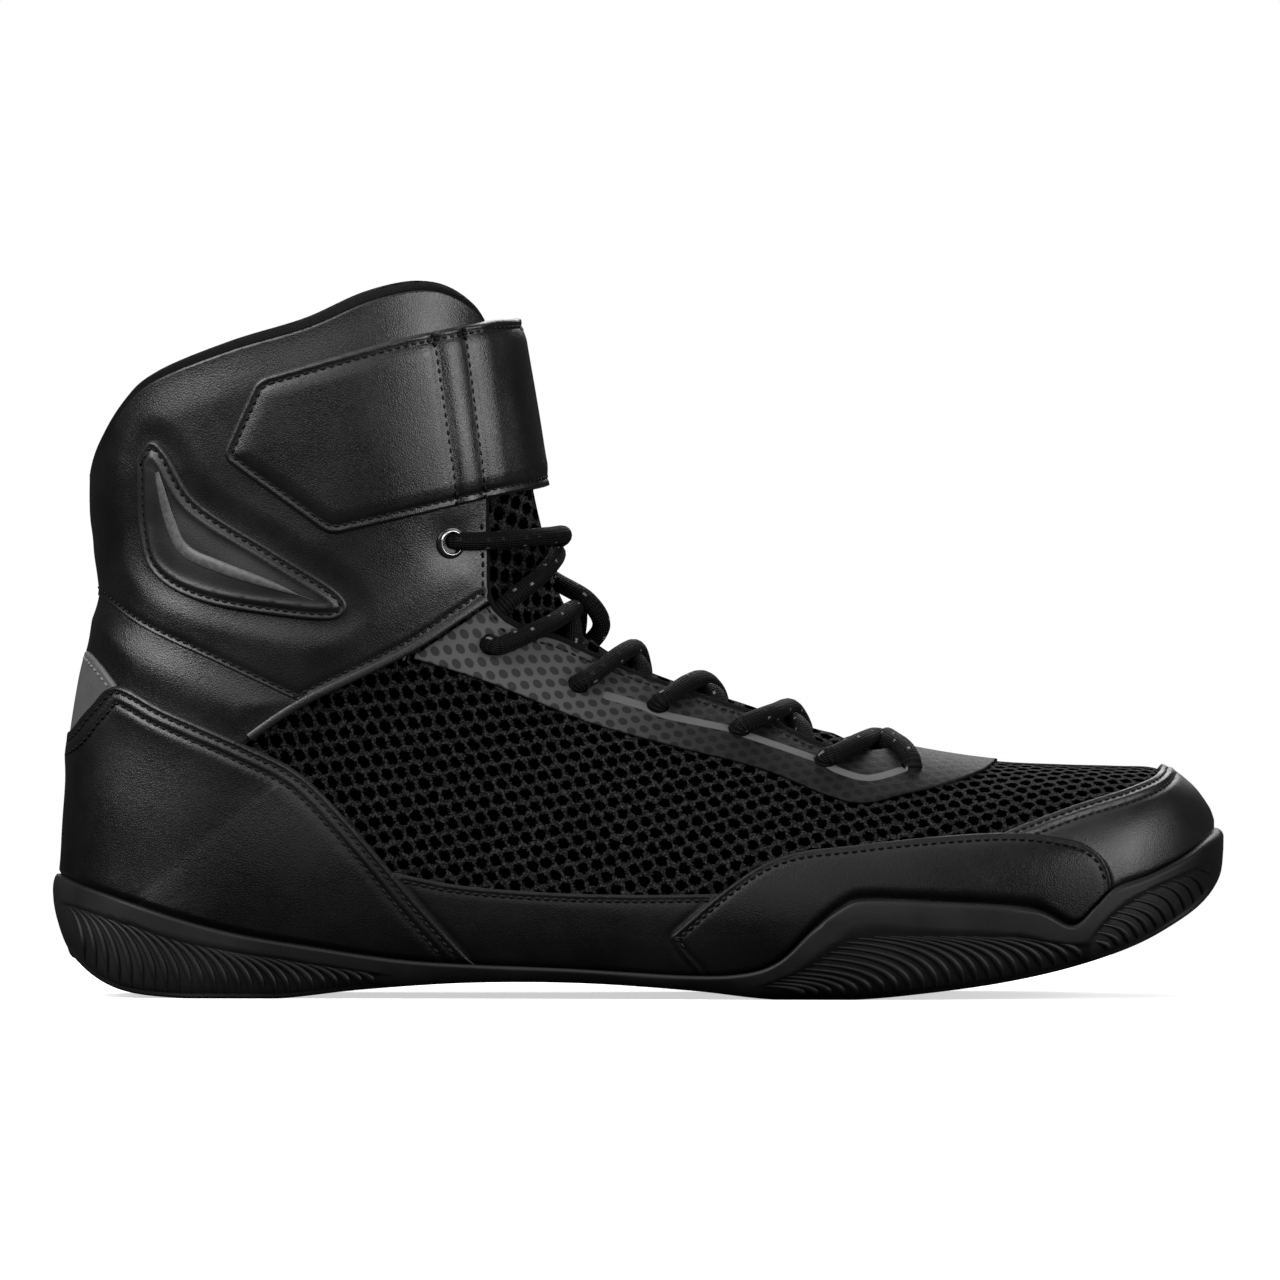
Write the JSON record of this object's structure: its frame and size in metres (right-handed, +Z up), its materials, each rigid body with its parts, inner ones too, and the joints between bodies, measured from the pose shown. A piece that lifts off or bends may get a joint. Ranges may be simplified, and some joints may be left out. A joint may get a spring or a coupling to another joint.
{
  "type": "boxing shoe",
  "caption": "High-top boxing shoe for the right foot: hollow mesh upper with leather overlays, laced throat, padded ankle strap and a ribbed rubber cup sole.",
  "frame": {"origin": "on the floor under the middle of the shoe's length and width", "axes": "+X from heel to toe, +Y to the medial side, +Z up from the floor"},
  "size_m": [0.2895, 0.1042, 0.175],
  "materials": {
    "black_rubber": "matte moulded rubber, smooth band over ribbed sides",
    "black_mesh": "open air mesh over a dark lining",
    "tongue_mesh": "coarse open-cell mesh over foam",
    "insole_foam": "cloth-faced foam",
    "black_leather": "fine-grained synthetic leather with a soft sheen",
    "grey_film": "thin printed film, dotted, dark grey",
    "grey_tab": "grey synthetic leather",
    "strap_leather": "smooth black synthetic leather, stitched edge",
    "lace_braid": "round braid with light flecks",
    "eyelet_steel": "plain metal ring"
  },
  "bodies": {
    "root": {"outsole": "black_rubber", "upper": "black_mesh", "tongue": "tongue_mesh", "insole": "insole_foam", "toe_cap": "black_leather", "heel_counter": "black_leather", "heel_tab": "grey_tab", "forefoot_panel_lateral": "black_leather", "forefoot_panel_medial": "black_leather", "rand_lateral": "black_leather", "rand_medial": "black_leather", "eyestay": "grey_film", "cuff": "black_leather", "heel_band": "black_leather", "ankle_pad_lateral": "black_leather", "ankle_pad_medial": "black_leather", "strap": "strap_leather", "eyelet_lateral": "eyelet_steel", "eyelet_medial": "eyelet_steel", "lace_1": "lace_braid", "lace_2": "lace_braid", "lace_3": "lace_braid", "lace_4": "lace_braid", "lace_5": "lace_braid", "lace_6": "lace_braid"}
  },
  "joints": []
}
